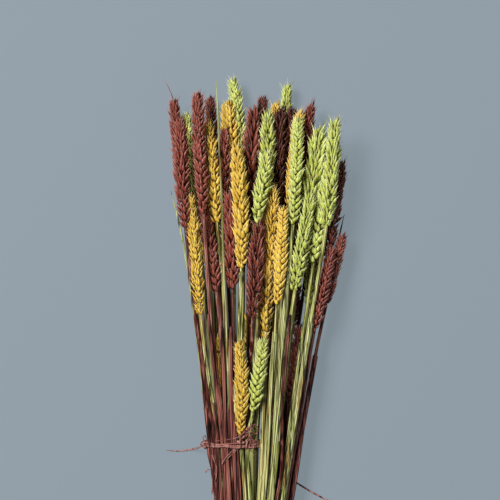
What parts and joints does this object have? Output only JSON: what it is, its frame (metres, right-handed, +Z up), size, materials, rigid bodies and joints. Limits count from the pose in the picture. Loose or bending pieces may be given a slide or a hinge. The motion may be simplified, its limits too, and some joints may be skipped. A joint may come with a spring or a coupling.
{
  "type": "bundle of dried wheat",
  "caption": "Bound bundle of dried wheat stalks lying flat, ears fanned out at one end, in brown, yellow and green, with raffia ties.",
  "frame": {"origin": "middle of the bundle's footprint, on the surface it lies on", "axes": "+Y along the bundle from the cut ends to the ears, +Z up from the surface, +X to the right when seen from above with the ears away"},
  "size_m": [0.1468, 0.5998, 0.0448],
  "materials": {
    "brown_wheat": "matte dyed straw, burgundy brown",
    "yellow_wheat": "matte dyed straw, golden yellow",
    "green_wheat": "matte dyed straw, light green",
    "dry_leaf": "matte dry leaf, pale green",
    "brown_raffia": "matte dry raffia strand, reddish brown",
    "natural_raffia": "matte dry raffia, straw colour"
  },
  "bodies": {
    "root": {"brown_stalk_01": "brown_wheat", "brown_stalk_02": "brown_wheat", "brown_stalk_03": "brown_wheat", "brown_stalk_04": "brown_wheat", "brown_stalk_05": "brown_wheat", "brown_stalk_06": "brown_wheat", "brown_stalk_07": "brown_wheat", "brown_stalk_08": "brown_wheat", "brown_stalk_09": "brown_wheat", "brown_stalk_10": "brown_wheat", "brown_stalk_11": "brown_wheat", "brown_stalk_12": "brown_wheat", "brown_stalk_13": "brown_wheat", "brown_stalk_14": "brown_wheat", "brown_stalk_15": "brown_wheat", "brown_stalk_16": "brown_wheat", "brown_stalk_17": "brown_wheat", "brown_stalk_18": "brown_wheat", "brown_stalk_19": "brown_wheat", "brown_stalk_20": "brown_wheat", "brown_stalk_21": "brown_wheat", "brown_stalk_22": "brown_wheat", "yellow_stalk_01": "yellow_wheat", "yellow_stalk_02": "yellow_wheat", "yellow_stalk_03": "yellow_wheat", "yellow_stalk_04": "yellow_wheat", "yellow_stalk_05": "yellow_wheat", "yellow_stalk_06": "yellow_wheat", "yellow_stalk_07": "yellow_wheat", "yellow_stalk_08": "yellow_wheat", "yellow_stalk_09": "yellow_wheat", "yellow_stalk_10": "yellow_wheat", "yellow_stalk_11": "yellow_wheat", "yellow_stalk_12": "yellow_wheat", "yellow_stalk_13": "yellow_wheat", "yellow_stalk_14": "yellow_wheat", "yellow_stalk_15": "yellow_wheat", "yellow_stalk_16": "yellow_wheat", "green_stalk_01": "green_wheat", "green_stalk_02": "green_wheat", "green_stalk_03": "green_wheat", "green_stalk_04": "green_wheat", "green_stalk_05": "green_wheat", "green_stalk_06": "green_wheat", "green_stalk_07": "green_wheat", "green_stalk_08": "green_wheat", "green_stalk_09": "green_wheat", "green_stalk_10": "green_wheat", "green_stalk_11": "green_wheat", "green_stalk_12": "green_wheat", "green_stalk_13": "green_wheat", "green_stalk_14": "green_wheat", "green_stalk_15": "green_wheat", "green_stalk_16": "green_wheat", "leaf_blade_1": "dry_leaf", "leaf_blade_2": "dry_leaf", "leaf_blade_3": "dry_leaf", "raffia_tie": "brown_raffia", "stem_binding": "natural_raffia", "loose_straw": "brown_raffia"}
  },
  "joints": []
}
